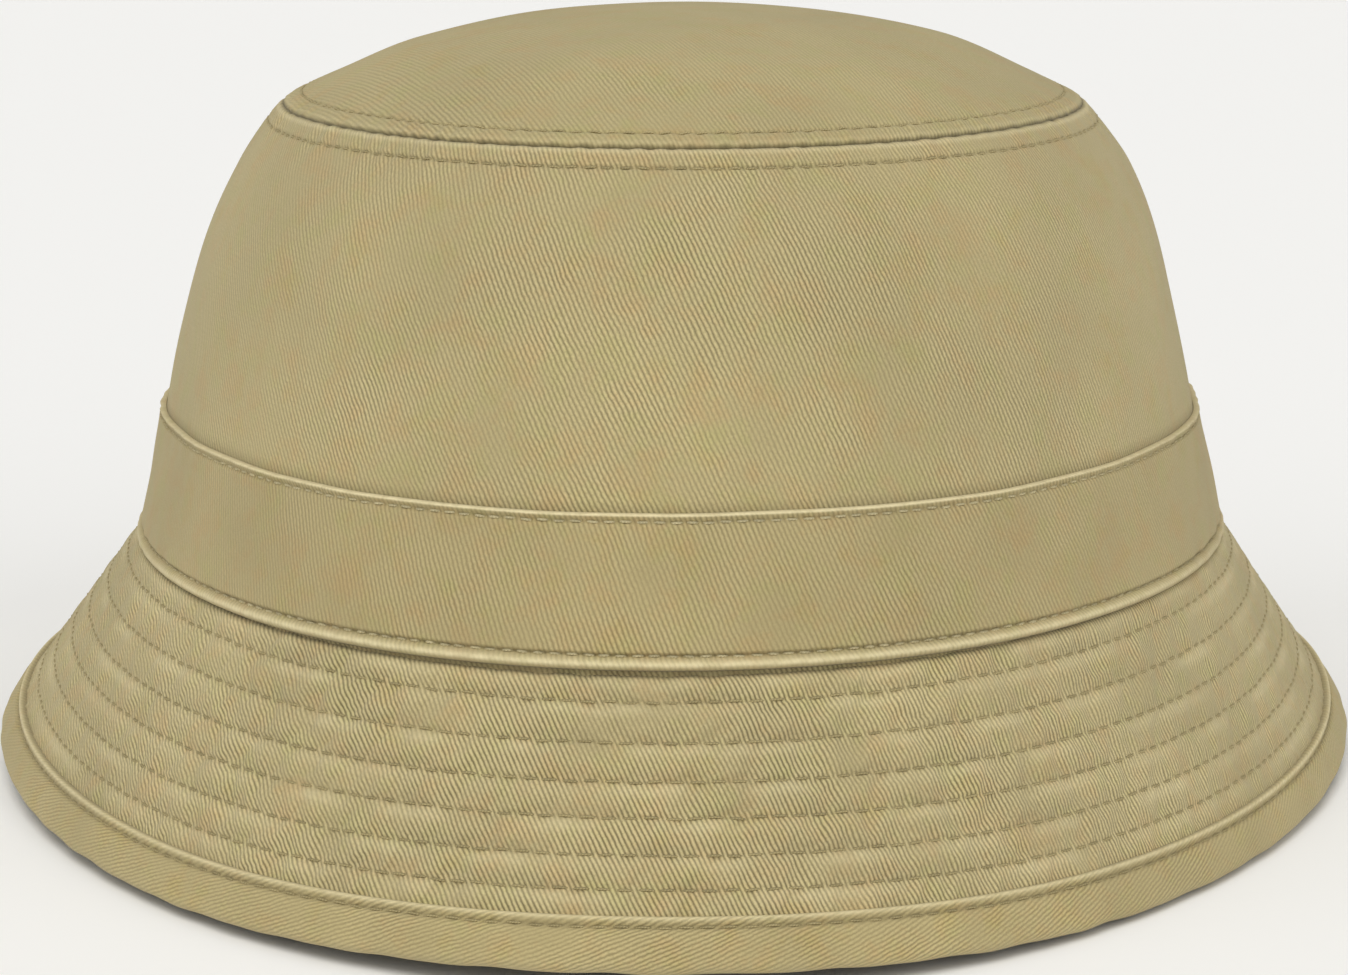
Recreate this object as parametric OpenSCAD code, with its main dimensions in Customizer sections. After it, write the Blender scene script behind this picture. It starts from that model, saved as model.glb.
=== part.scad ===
// Cotton twill bucket hat: oval crown tip, two-panel side crown, hat band,
// quilted two-layer brim with bound edge, inside sweatband and care label.
// Frame: +Z up, the front of the hat faces -Y, left is -X and right is +X. The
// origin is the centre of the plane on which the brim's bound edge rests.
// Sizes are in millimetres.
// Every ring is a profile [half-width, height] swept along an oval of four
// tangent arcs, so brim and bands keep the same width all the way round.

/* [Head size] */
// Half-width of the crown at the brim seam, side to side
crown_half = 91.2; // [86:0.1:98]
// Distance of the oval's four arc centres from its middle: the hat is 1.1716
// times this distance longer, front to back, than it is wide
arc_offset = 19.6411; // [14:0.0001:23]

/* [Crown] */
// Height of the brim seam above the surface the hat rests on
seam_z = 37; // [31:0.5:44]
// Height of the side crown, from the brim seam to the tip seam
crown_h = 73.8; // [64:0.2:84]
// Half-width of the crown tip at its seam, side to side
tip_half = 67.1; // [60:0.1:72]
// Rise of the domed tip above its seam
dome_h = 14.6; // [8:0.2:20]
// Share of the side taper that is a straight cone, the rest rounds the shoulder
taper_lin = 0.6; // [0.4:0.05:0.9]
// Seam allowance turned down inside the tip seam
tip_allow = 7; // [5:0.5:9]

/* [Brim] */
// Half-width of the hat over the brim edge, side to side
brim_half = 113; // [106:0.5:122]
// Outward bulge of the brim between its seam and its edge
brim_sag = 1.0; // [0:0.1:2]
// Distance from the brim seam to the first quilting row
row_first = 3.9; // [3:0.1:5]
// Distance from one quilting row to the next
row_pitch = 5.4; // [4.6:0.1:5.6]
// Seam allowance of the brim turned up behind the sweatband
brim_allow = 8; // [5:0.5:10]

/* [Band and binding] */
// Height of the hat band
band_h = 22; // [16:0.5:28]
// Width of the binding on each face of the brim
binding_w = 6.2; // [5.4:0.2:7]

/* [Sweatband and label] */
// Height of the sweatband
sweat_h = 28; // [24:0.5:34]
// Height of the care label
label_h = 16; // [12:0.5:18]
// Half of the angle that the care label spans at the back of the hat
label_half = 9; // [6:0.5:10]

/* [Cloth and thread] */
// Thickness of the shell cloth
cloth_t = 0.8; // [0.6:0.05:0.9]
// Thickness of the brim interlining
inter_t = 0.6; // [0.4:0.05:0.8]
// Thickness of the binding, seam tapes and care label
tape_t = 0.6; // [0.4:0.05:0.7]
// Diameter of the sewing thread
thread_d = 0.45; // [0.3:0.05:0.5]

/* [Hidden] */
$fn = 96;

gap = 0.1;                               // air between neighbouring layers
thread_r = thread_d / 2;
lift = thread_r + 0.05;                  // thread centre above the cloth it lies on
tip_z = seam_z + crown_h;                // height of the tip seam
stack_half = cloth_t + inter_t / 2 + gap;      // half thickness of the brim stack
binding_half = stack_half + gap + tape_t;      // the same, over the binding

khaki = [0.69, 0.635, 0.465];
khaki_dark = [0.62, 0.56, 0.39];
khaki_light = [0.75, 0.70, 0.53];
thread_color = [0.78, 0.72, 0.55];
cream = [0.86, 0.83, 0.74];
label_white = [0.93, 0.93, 0.90];

function flip(points) = [for (i = [len(points) - 1 : -1 : 0]) points[i]];

// ---- oval ---------------------------------------------------------------
// Side arcs turn about [-arc_offset, 0] and [arc_offset, 0], end arcs about
// [0, arc_offset] and [0, -arc_offset]. They meet with a common tangent at
// arc_half degrees from their middles.
arc_half = 45;
core_half = arc_offset * (sqrt(2) - 1);  // half-width at which the end arcs vanish

// Part of a side arc, from a0 to a1 degrees about its own centre; dir is 0
// for the right side (+X) and 180 for the left
module side_arc(dir, a0, a1) {
    rotate([0, 0, dir]) translate([-arc_offset, 0, 0])
        rotate_extrude(angle = a1 - a0, start = a0)
            translate([arc_offset, 0]) children();
}
// Part of an end arc, from a0 to a1 degrees about its middle; dir is 0 for
// the back (+Y) and 180 for the front
module end_arc(dir, a0, a1) {
    rotate([0, 0, dir]) translate([0, arc_offset, 0])
        rotate_extrude(angle = a1 - a0, start = 90 + a0)
            translate([-core_half, 0]) children();
}
module oval_ring() {
    for (dir = [0, 180]) {
        side_arc(dir, -arc_half, arc_half) children();
        end_arc(dir, -arc_half, arc_half) children();
    }
}

module thread_section(x, z) {
    translate([x, z]) circle(r = thread_r, $fn = 16);
}
// Thread all round the hat at half-width x and height z
module thread_ring(x, z) {
    color(thread_color) oval_ring() thread_section(x, z);
}

// ---- crown surface ------------------------------------------------------
shoulder_power = 4;              // the higher, the tighter the shoulder

// Outer half-width of the side crown at a height
function crown_x(z) = let (u = (z - seam_z) / crown_h)
    crown_half - (crown_half - tip_half)
        * (taper_lin * u + (1 - taper_lin) * pow(u, shoulder_power));

// Points up the crown surface, moved inwards by inset
function crown_run(inset, z0, z1, steps) =
    [for (i = [0 : steps]) let (z = z0 + (z1 - z0) * i / steps) [crown_x(z) - inset, z]];

// Section of a strip that follows the crown; inset is that of its outer face
module crown_strip(inset, thick, z0, z1, steps) {
    polygon(concat(crown_run(inset, z0, z1, steps),
        flip(crown_run(inset + thick, z0, z1, steps))));
}
// Thread all round, its centre moved inwards from the crown surface by inset
module crown_thread(z, inset) { thread_ring(crown_x(z) - inset, z); }

// ---- brim surface -------------------------------------------------------
edge_drop = 0.3;                 // lowers the edge so that the binding rests flat
brim_steps = 6;

// Start of the brim's upper face at the seam, and end of the stack's middle
brim_start = [crown_half, seam_z];
brim_end = [brim_half - binding_half, binding_half - edge_drop];
// The chord of the stack's middle is parallel to that of the upper face
span = brim_end - brim_start;
span_len = norm(span);
chord_angle = atan2(span[1], span[0]) + asin(stack_half / span_len);
chord_dir = [cos(chord_angle), sin(chord_angle)];
chord_normal = [-sin(chord_angle), cos(chord_angle)];
brim_len = sqrt(span_len * span_len - stack_half * stack_half);
middle_start = brim_start - stack_half * chord_normal;

// Point at distance s down the brim, raised by offset from the stack's middle
function brim_pt(s, offset) = let (t = s / brim_len)
    middle_start + s * chord_dir + (offset + brim_sag * 4 * t * (1 - t)) * chord_normal;
function brim_run(offset, s0, s1, steps) =
    [for (i = [0 : steps]) brim_pt(s0 + (s1 - s0) * i / steps, offset)];

// Where the straight line of an offset brim face meets the foot of the crown's
// surface, moved inwards by inset
foot_taper = (crown_half - tip_half) * taper_lin / crown_h;
function brim_meet(offset, inset) =
    let (start = middle_start + offset * chord_normal,
        s = (crown_half - inset - foot_taper * (start[1] - seam_z) - start[0])
            / (chord_dir[0] + foot_taper * chord_dir[1]))
    start + s * chord_dir;

// ---- crown tip ----------------------------------------------------------
tip_clear = 0.6;                 // from the side crown's inner face to the tip
tip_x = tip_half - cloth_t - tip_clear;  // half-width of the tip
flat_x = core_half + 2;          // half-width of the dome's level middle
sweep_x = core_half + 0.5;       // inner edge of the swept part of the dome
disc_x = core_half + 1;          // half-width of the plate that fills it
dome_top = tip_z + dome_h;
dome_steps = 8;

// Outside flat_x the dome falls as a parabola
function dome_z(x) = tip_z + dome_h *
    (1 - pow(max(x - flat_x, 0) / (tip_x - flat_x), 2));
// Points of the dome from flat_x out to end_x, closer together at the rim
function dome_run(end_x, drop) =
    [for (i = [0 : dome_steps])
        let (x = flat_x + (end_x - flat_x) * sin(90 * i / dome_steps))
        [x, dome_z(x) - drop]];

// Domed oval top with its seam allowance turned down
module crown_tip() {
    hem_z = tip_z - tip_allow;
    color(khaki) union() {
        oval_ring() polygon(concat(
            [[sweep_x, dome_top]], dome_run(tip_x, 0),
            [[tip_x, hem_z], [tip_x - cloth_t, hem_z]],
            flip(dome_run(tip_x - cloth_t, cloth_t)), [[sweep_x, dome_top - cloth_t]]));
        // level plate, bounded by two side arcs
        translate([0, 0, dome_top - cloth_t]) intersection() {
            translate([-arc_offset, 0, 0])
                cylinder(r = arc_offset + disc_x, h = cloth_t, $fn = 180);
            translate([arc_offset, 0, 0])
                cylinder(r = arc_offset + disc_x, h = cloth_t, $fn = 180);
        }
    }
}

// Tape inside the tip's turned-down allowance, 1 mm lower than the tip seam
module tip_seam_tape() {
    color(khaki_light) oval_ring()
        translate([tip_x - cloth_t - gap - tape_t, tip_z - tip_allow - 1])
            square([tape_t, tip_allow]);
}

// Seam thread between the tip and the side crown
module tip_seam_thread() { thread_ring(tip_x + tip_clear / 2, tip_z - 0.6); }

// Topstitching each side of the tip seam: needle thread outside and bobbin
// thread inside
module tip_topstitch_upper() {
    x = tip_x - 3.5;
    slope = atan(2 * dome_h * (x - flat_x) / pow(tip_x - flat_x, 2));
    thread_ring(x + lift * sin(slope), dome_z(x) + lift * cos(slope));
    thread_ring(x, dome_z(x) - (cloth_t + lift) / cos(slope));
}
module tip_topstitch_lower() {
    z = tip_z - 3.3;
    crown_thread(z, -1.3 * lift);
    crown_thread(z, cloth_t + 2 * lift);
}

// ---- side crown ---------------------------------------------------------
// Lower edge, just above the fold of the brim's upper layer
side_z0 = brim_meet(stack_half, cloth_t + gap)[1] + 0.15;
seam_gap = 0.25;                 // half-angle of the gap at each side seam
side_tape_half = 3.5;            // half-angle that a side tape spans
side_tape_z0 = seam_z + band_h + 0.5;
side_tape_z1 = tip_z - 10;
side_thread_t = 0.3;             // thickness of the side seam's strip of stitches

// Panel from side seam to side seam; dir is 0 for the back, 180 for the front
module side_panel(dir) {
    module section() { crown_strip(0, cloth_t, side_z0, tip_z, steps = 10); }
    color(khaki) rotate([0, 0, dir]) union() {
        side_arc(0, seam_gap, arc_half) section();
        end_arc(0, -arc_half, arc_half) section();
        side_arc(180, -arc_half, -seam_gap) section();
    }
}
module side_crown_front() { side_panel(180); }
module side_crown_back() { side_panel(0); }

// Tape that covers a side seam inside the crown, above the hat band's height
module side_seam_tape(dir) {
    color(khaki_light) side_arc(dir, -side_tape_half, side_tape_half)
        crown_strip(cloth_t + gap, tape_t, side_tape_z0, side_tape_z1, steps = 8);
}
module side_seam_tape_left() { side_seam_tape(180); }
module side_seam_tape_right() { side_seam_tape(0); }

// Thin strip of stitches in the gap between the panels, midway through the
// thickness of the cloth
module side_seam_thread(dir) {
    color(thread_color) side_arc(dir, -seam_gap / 2, seam_gap / 2)
        crown_strip((cloth_t - side_thread_t) / 2, side_thread_t,
            side_z0 + 1, tip_z - 1, steps = 8);
}
module side_seam_thread_left() { side_seam_thread(180); }
module side_seam_thread_right() { side_seam_thread(0); }

// ---- hat band -----------------------------------------------------------
band_out = cloth_t + gap;        // band's outer face, out from the crown
band_z0 = seam_z + 0.6;
band_z1 = seam_z + band_h;

module hat_band() {
    color(khaki) oval_ring() crown_strip(-band_out, cloth_t, band_z0, band_z1, steps = 4);
}
// Needle thread on the band and bobbin thread inside the crown
module band_topstitch_upper() {
    z = band_z1 - 1.2;
    crown_thread(z, -band_out - lift);
    crown_thread(z, cloth_t + lift + 0.05);
}
module band_topstitch_lower() { crown_thread(seam_z + 2.4, -band_out - lift); }

// ---- brim ---------------------------------------------------------------
// Section of a cloth layer: from the bound edge up to the seam, then the seam
// allowance turned up inside the crown. face is the height of its upper face
// above the stack's middle, s0 where its curve starts, and inset that of the
// allowance's outer face.
module brim_layer(face, s0, inset) {
    under = face - cloth_t;
    inner = inset + cloth_t;
    top_z = seam_z + brim_allow;
    polygon(concat(
        [brim_meet(face, inset)], brim_run(face, s0, brim_len, brim_steps),
        flip(brim_run(under, s0, brim_len, brim_steps)), [brim_meet(under, inner)],
        [[crown_x(top_z) - inner, top_z], [crown_x(top_z) - inset, top_z]]));
}
module brim_upper() {
    color(khaki) oval_ring()
        brim_layer(face = stack_half, s0 = 0, inset = cloth_t + gap);
}
module brim_lower() {
    color(khaki_dark) oval_ring()
        brim_layer(face = cloth_t - stack_half, s0 = 1, inset = 2 * (cloth_t + gap));
}
module brim_interlining() {
    s0 = 0.2;
    color(cream) oval_ring() polygon(concat(
        brim_run(inter_t / 2, s0, brim_len, brim_steps),
        flip(brim_run(-inter_t / 2, s0, brim_len, brim_steps))));
}
// Seam thread inside the foot of the hat band
module brim_seam_thread() { thread_ring(crown_half - 0.45, seam_z + 1.45); }

// Folded tape over the brim's edge: a U around the stack, flat underneath
// where the hat rests
module brim_binding() {
    edge = brim_pt(brim_len, 0);
    cap_steps = 12;
    s0 = brim_len - binding_w;
    function cap(r) = [for (i = [1 : cap_steps - 1])
        let (a = chord_angle + 90 - 180 * i / cap_steps)
        edge + r * [cos(a), sin(a)]];
    function u_run(r) = concat(brim_run(r, s0, brim_len, 3), cap(r),
        flip(brim_run(-r, s0, brim_len, 3)));
    outer = [for (p = u_run(binding_half)) [p[0], max(p[1], 0)]];
    color(khaki_dark) oval_ring()
        polygon(concat(outer, flip(u_run(stack_half + gap))));
}

// Row of stitches at distance s down the brim: needle thread above and bobbin
// thread below, on faces at height face either side of the stack's middle
module brim_threads(s, face) {
    for (side = [1, -1]) {
        centre = brim_pt(s, side * (face + lift));
        thread_ring(centre[0], centre[1]);
    }
}
module binding_stitch() { brim_threads(brim_len - binding_w + 1.2, binding_half); }
// Quilting row through all the brim's layers, counted from the seam
module brim_stitch_row(row) { brim_threads(row_first + row_pitch * (row - 1), stack_half); }

// ---- inside the crown ---------------------------------------------------
sweat_out = 3 * (cloth_t + gap); // sweatband's outer face, in from the crown
sweat_in = sweat_out + cloth_t;  // its inner face
sweat_z1 = seam_z + sweat_h;
label_z1 = sweat_z1 - 5;         // top edge of the label
label_gap = 0.3;                 // from the sweatband to the label

module sweatband() {
    color(khaki_light) oval_ring()
        crown_strip(sweat_out, cloth_t, seam_z + 0.3, sweat_z1, steps = 4);
}
module sweatband_stitch() { crown_thread(seam_z + 3, sweat_in + lift); }

// Blank label inside the back of the sweatband
module care_label() {
    color(label_white) end_arc(0, -label_half, label_half)
        crown_strip(sweat_in + label_gap, tape_t, label_z1 - label_h, label_z1, steps = 3);
}
// Thread just above the label's top edge
module label_stitch() {
    z = label_z1 + 0.8;
    color(thread_color) end_arc(0, -label_half, label_half)
        thread_section(crown_x(z) - sweat_in - lift, z);
}

crown_tip();
side_crown_front();
side_crown_back();
hat_band();
brim_upper();
brim_interlining();
brim_lower();
brim_binding();
sweatband();
care_label();
tip_seam_tape();
side_seam_tape_left();
side_seam_tape_right();
tip_seam_thread();
tip_topstitch_upper();
tip_topstitch_lower();
side_seam_thread_left();
side_seam_thread_right();
band_topstitch_upper();
band_topstitch_lower();
brim_seam_thread();
brim_stitch_row(1);  // brim_stitch_row_1
brim_stitch_row(2);  // brim_stitch_row_2
brim_stitch_row(3);  // brim_stitch_row_3
brim_stitch_row(4);  // brim_stitch_row_4
brim_stitch_row(5);  // brim_stitch_row_5
brim_stitch_row(6);  // brim_stitch_row_6
binding_stitch();
sweatband_stitch();
label_stitch();
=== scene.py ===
import bpy
import bmesh
import math
import numpy as np
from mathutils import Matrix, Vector


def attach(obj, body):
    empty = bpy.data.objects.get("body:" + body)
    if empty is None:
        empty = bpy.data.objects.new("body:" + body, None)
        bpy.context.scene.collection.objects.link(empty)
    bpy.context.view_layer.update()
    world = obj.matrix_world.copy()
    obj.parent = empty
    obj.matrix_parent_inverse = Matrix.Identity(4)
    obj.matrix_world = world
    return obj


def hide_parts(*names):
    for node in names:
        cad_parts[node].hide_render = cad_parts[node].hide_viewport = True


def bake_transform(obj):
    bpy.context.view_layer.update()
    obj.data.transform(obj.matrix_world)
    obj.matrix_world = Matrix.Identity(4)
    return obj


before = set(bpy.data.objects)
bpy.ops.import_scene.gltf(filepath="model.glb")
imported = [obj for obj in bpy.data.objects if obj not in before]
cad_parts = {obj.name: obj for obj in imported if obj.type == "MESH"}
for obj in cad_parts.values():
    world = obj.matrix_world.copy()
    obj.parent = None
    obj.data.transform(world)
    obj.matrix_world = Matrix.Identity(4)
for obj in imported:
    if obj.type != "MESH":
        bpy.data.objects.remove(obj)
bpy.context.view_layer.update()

# ---------------------------------------------------------------- sizes (mm)
ARC_CENTRE = 19.6411          # the oval's four arcs are centred this far from the middle
CORE = ARC_CENTRE * (math.sqrt(2) - 1)
SEAM_W = 92.1                 # half-width at the brim seam
SEAM_Z = 39.8                 # height of the brim seam
TOP_W, TOP_RISE = 66.9, 70.9  # half-width of the tip seam, and its height above the brim seam
TIP_SHORT = -8.3              # added to the half-length at the tip seam
CLOTH = 0.8                   # thickness of the shell cloth
ROWS = [4.2, 10.3, 16.1, 21.4, 26.8, 31.8]    # stitch rows, as runs down the brim
BIND_RUN = 35.5               # upper edge of the binding
BRIM_END = 43.1               # outer edge of the binding's fold, before its radius allowance
BRIM_CLOTH_END = 42.6
HELD = [-0.8] + ROWS + [BIND_RUN + 1.1]       # runs where the upper brim cloth is held down
TOP_ROW = 3.6                 # topstitch rows, this far each side of the tip seam
BAND_LO, BAND_HI = -0.5, 21.7
BAND_ROW_LO, BAND_ROW_HI = BAND_LO + 2.15, BAND_HI - 1.25
BAND_PITCH = 2.4              # stitch length on the band
SWEAT_LO, SWEAT_HI = 0.2, 28.0
LABEL_LO, LABEL_HI = 7.0, 23.0
LABEL_HALF = math.radians(9)
BACK = math.pi / 2
MM_PER_UV = 100.0


# ------------------------------------------------------------ curves and noise
def pchip(x, y):
    """Monotone cubic through the points, carried on straight beyond both ends."""
    x, y = np.asarray(x, float), np.asarray(y, float)
    gap = np.diff(x)
    rise = np.diff(y) / gap
    slope = np.zeros(len(x))
    for i in range(1, len(x) - 1):
        if rise[i - 1] * rise[i] > 0:
            before, after = 2 * gap[i] + gap[i - 1], gap[i] + 2 * gap[i - 1]
            slope[i] = (before + after) / (before / rise[i - 1] + after / rise[i])
    slope[0], slope[-1] = rise[0], rise[-1]

    def curve(at):
        at = np.asarray(at, float)
        held = np.clip(at, x[0], x[-1])
        k = np.clip(np.searchsorted(x, held) - 1, 0, len(x) - 2)
        t = (held - x[k]) / gap[k]
        inside = ((1 + 2 * t) * (1 - t) ** 2 * y[k] + t * (1 - t) ** 2 * gap[k] * slope[k]
                  + t * t * (3 - 2 * t) * y[k + 1] + t * t * (t - 1) * gap[k] * slope[k + 1])
        below = np.where(at < x[0], (at - x[0]) * slope[0], 0)
        above = np.where(at > x[-1], (at - x[-1]) * slope[-1], 0)
        return inside + below + above
    return curve


class Profile:
    """A line of (half-width, height above the brim seam) points, read by length along it."""

    def __init__(self, points):
        width, z = np.array(points, float).T
        z = z + SEAM_Z
        length = np.r_[0, np.cumsum(np.hypot(np.diff(width), np.diff(z)))]
        self.width, self.z, self.length = pchip(length, width), pchip(length, z), length[-1]

    def at(self, run, out):
        step = 0.05
        across = self.width(run + step) - self.width(run - step)
        rise = self.z(run + step) - self.z(run - step)
        norm = np.hypot(across, rise) + 1e-9
        return self.width(run) + out * rise / norm, self.z(run) - out * across / norm


CROWN = Profile([
    (91.2, 0), (86.6, 20.9), (83.1, 35.8), (79.2, 49.8), (74.3, 60.9), (70.2, 66.4),
    (TOP_W, TOP_RISE)])
TIP = Profile([
    (TOP_W, TOP_RISE), (58.8, 75.1), (44.1, 81.1), (24.1, 84.75), (12.0, 85.65), (0.0, 85.95)])


def oval(angle, width):
    """x and y of the oval of this half-width: four tangent arcs, found by normal angle."""
    c, s = np.cos(angle), np.sin(angle)
    side = np.abs(c) >= np.abs(s)
    radius = np.where(side, width + ARC_CENTRE, width - CORE)
    x = np.where(side, -np.sign(c) * ARC_CENTRE, 0) + radius * c
    y = np.where(side, 0, np.sign(s) * ARC_CENTRE) + radius * s
    return x, y


def half_length(width):
    return width + ARC_CENTRE - CORE


def points(x, y, z):
    return np.stack(np.broadcast_arrays(x, y, z), -1)


def waves(angle, run, seed, turns, slant, n=14):
    """Repeatable smooth noise of about unit size: n waves with whole turns round the hat."""
    rng = np.random.RandomState(seed)
    total = 0.0
    for _ in range(n):
        turn = rng.randint(turns[0], turns[1] + 1)
        lean = rng.uniform(*slant) * rng.choice([-1, 1])
        total = total + np.cos(turn * angle + lean * run + rng.uniform(0, 2 * math.pi))
    return total / math.sqrt(n / 2)


def bump(x, at, width):
    return np.exp(-((x - at) / width) ** 2)


def ease(x, start, end):
    """0 before start, 1 after end, smooth between."""
    t = np.clip((x - start) / (end - start), 0, 1)
    return t * t * (3 - 2 * t)


def rounded(distance, radius):
    """Quarter-round edge: 0 at the edge, 1 from one radius inward."""
    return np.sqrt(np.clip(1 - (1 - np.clip(distance / radius, 0, 1)) ** 2, 0, 1))


def side_share(angle):
    """1 at the sides (+X and -X), 0 at front and back."""
    return np.abs(np.cos(angle)) ** 2


def value(height, angle, run):
    return height(angle, run) if callable(height) else height


def shifted(height, by):
    return lambda angle, run: height(angle, run) + by


# ------------------------------------------------------------------- surfaces
def crown_noise(angle, run):
    slow = waves(angle, run, seed=11, turns=(2, 9), slant=(0.02, 0.10))
    quick = waves(angle, run, seed=12, turns=(10, 30), slant=(0.05, 0.25))
    fade = ease(run, 0, 30) * (1 - 0.6 * ease(run, 62, 72))
    shoulder = 0.6 * np.cos(angle) ** 2 * bump(run, at=CROWN.length - 6, width=5)
    return (0.35 * slow + 0.10 * quick) * fade + shoulder


def crown_at(angle, run, out):
    width, z = CROWN.at(run, out)
    width = width + crown_noise(angle, run)
    x, y = oval(angle, width)
    short = TIP_SHORT * np.clip((SEAM_W - width) / (SEAM_W - TOP_W), 0, 1)
    return points(x, y * (1 + short / half_length(width)), z)


def tip_at(angle, run, out):
    """The oval down to a half-width of 24, and that oval scaled down inside it."""
    width, z = TIP.at(run, out)
    oval_width = np.maximum(width, 24.0)
    x, y = oval(angle, oval_width)
    scale = np.clip(width, 0, None) / oval_width
    y = y * (1 + TIP_SHORT / half_length(oval_width))
    # at its edge the tip follows the top of the side crown
    edge = crown_noise(angle, CROWN.length) * (1 - ease(run, 0, 12))
    noise = (0.30 * waves(angle, run, seed=21, turns=(2, 6), slant=(0.03, 0.12))
             * ease(run, 0, 18) * (1 - ease(run, 20, 52)))
    return points(x * scale + np.cos(angle) * edge, y * scale + np.sin(angle) * edge, z + noise)


# Brim slope in degrees, as waves of 0, 1, 2... turns; the sine ones fade out towards the back.
SLOPE_COS = (56.6, 0.8, -0.6, 1.9, -0.5)
SLOPE_SIN = (0.0, 1.3, 1.76, 3.8)


def brim_slope(angle):
    even = sum(size * np.cos(k * angle) for k, size in enumerate(SLOPE_COS))
    uneven = sum(size * np.sin(k * angle) for k, size in enumerate(SLOPE_SIN))
    front = 1 - ease(np.sin(angle), 0.1, 0.85)
    return np.radians(even - front * uneven)


def brim_at(angle, run, out):
    slope = brim_slope(angle)
    out = out - 0.7               # the brim's zero lies just under the seam line
    x, y = oval(angle, SEAM_W)
    reach = run * np.cos(slope) + out * np.sin(slope)
    seam_z = SEAM_Z + 0.5 * np.cos(2 * angle)
    z = seam_z - run * np.sin(slope) + out * np.cos(slope)
    return points(x + np.cos(angle) * reach, y + np.sin(angle) * reach, z)


# ---------------------------------------------------------------- brim relief
def quilt(angle, run, seed=31):
    """Puffed channels between the held lines, with puckers across them."""
    height = np.zeros(np.broadcast(angle, run).shape)
    side = side_share(angle)
    for i, (start, end) in enumerate(zip(HELD, HELD[1:])):
        t = np.clip((run - start) / (end - start), 0, 1)
        inside = ((run >= start) & (run <= end)).astype(float)
        arch = np.sin(np.pi * t)
        puff = 0.5 * (1 - np.abs(2 * t - 1) ** 2.6) ** 0.75 + 0.5 * arch
        uneven = waves(angle, 0, seed + i, turns=(15, 45), slant=(0, 0.01))
        size = (0.78 + 0.12 * uneven) * (1 - 0.45 * side ** 2)
        pucker = waves(angle, run, seed + 20 + i, turns=(38, 95), slant=(0.05, 0.45), n=10)
        pucker = np.sign(pucker) * np.abs(pucker) ** 1.2
        height = height + inside * (puff * size + (0.13 + 0.10 * side) * pucker * arch ** 0.8)
    cross = waves(angle, run, seed + 50, turns=(30, 70), slant=(0.02, 0.20))
    return height + (0.07 + 0.05 * side) * cross


SIM_COLUMNS, SIM_STEPS = 840, 8       # grid columns round the hat, grid steps per channel
SIM_FRAMES = 20
SIM_SCALE = 0.01                      # mm to scene units: ten times the real size
SIM_CLOTH = dict(
    quality=4, mass=0.1,
    tension_stiffness=15, compression_stiffness=15, shear_stiffness=5, bending_stiffness=0.05,
    tension_damping=5, compression_damping=5, shear_damping=5, bending_damping=0.5,
    air_damping=2, vertex_group_mass="pin",
    use_pressure=True, uniform_pressure_force=4.0,     # the padding pushing from below
    shrink_min=-0.05, shrink_max=-0.05)                # negative: the cloth grows


def simulate_quilt():
    """Cloth simulation of the upper brim layer, pinned along the held lines, a little too
    wide and pushed out. Returns the grid's runs and the cloth's height over it."""
    scene = bpy.context.scene
    n = SIM_COLUMNS
    runs = [np.linspace(a, b, SIM_STEPS + 1)[:-1] for a, b in zip(HELD, HELD[1:])]
    runs = np.r_[np.concatenate(runs), HELD[-1]]
    m = len(runs)
    angle, run = (2 * math.pi * np.arange(n) / n)[:, None], runs[None]
    arch = np.zeros(m)
    for a, b in zip(HELD, HELD[1:]):
        arch = np.where((runs >= a) & (runs <= b), np.sin(np.pi * (runs - a) / (b - a)), arch)
    noise = waves(angle, run, seed=401, turns=(45, 100), slant=(0.1, 0.6))
    rest = brim_at(angle, run, 0.0)
    start = brim_at(angle, run, np.abs(arch)[None] * (0.10 * noise + 0.05))
    normal = brim_at(angle, run, 1.0) - rest

    index = np.arange(n * m).reshape(n, m)
    following = np.roll(index, -1, 0)
    faces = np.stack([index[:, :-1], following[:, :-1], following[:, 1:], index[:, 1:]], -1)
    mesh = bpy.data.meshes.new("quilt_sim")
    mesh.from_pydata((start.reshape(-1, 3) * SIM_SCALE).tolist(), [],
                     faces.reshape(-1, 4)[:, ::-1].tolist())
    mesh.update()
    ob = bpy.data.objects.new("quilt_sim", mesh)
    scene.collection.objects.link(ob)
    pins = []
    for line in HELD:
        pins += index[:, int(np.argmin(np.abs(runs - line)))].tolist()
    ob.vertex_groups.new(name="pin").add(pins, 1.0, "REPLACE")

    cloth = ob.modifiers.new("cloth", "CLOTH")
    for key, setting in SIM_CLOTH.items():
        setattr(cloth.settings, key, setting)
    cloth.settings.effector_weights.gravity = 0
    cloth.collision_settings.use_collision = False
    cloth.collision_settings.use_self_collision = False
    cloth.point_cache.frame_start = 1
    cloth.point_cache.frame_end = SIM_FRAMES
    for frame in range(1, SIM_FRAMES + 1):
        scene.frame_set(frame)

    result = ob.evaluated_get(bpy.context.evaluated_depsgraph_get())
    co = np.zeros(n * m * 3, np.float32)
    result.to_mesh().vertices.foreach_get("co", co)
    result.to_mesh_clear()
    moved = co.reshape(n, m, 3).astype(float) / SIM_SCALE - rest
    height = np.clip(np.nan_to_num((moved * normal).sum(-1)), -0.6, 1.3)
    bpy.data.objects.remove(ob)
    bpy.data.meshes.remove(mesh)
    scene.frame_set(1)
    return runs, height


SIM = simulate_quilt()


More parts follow.
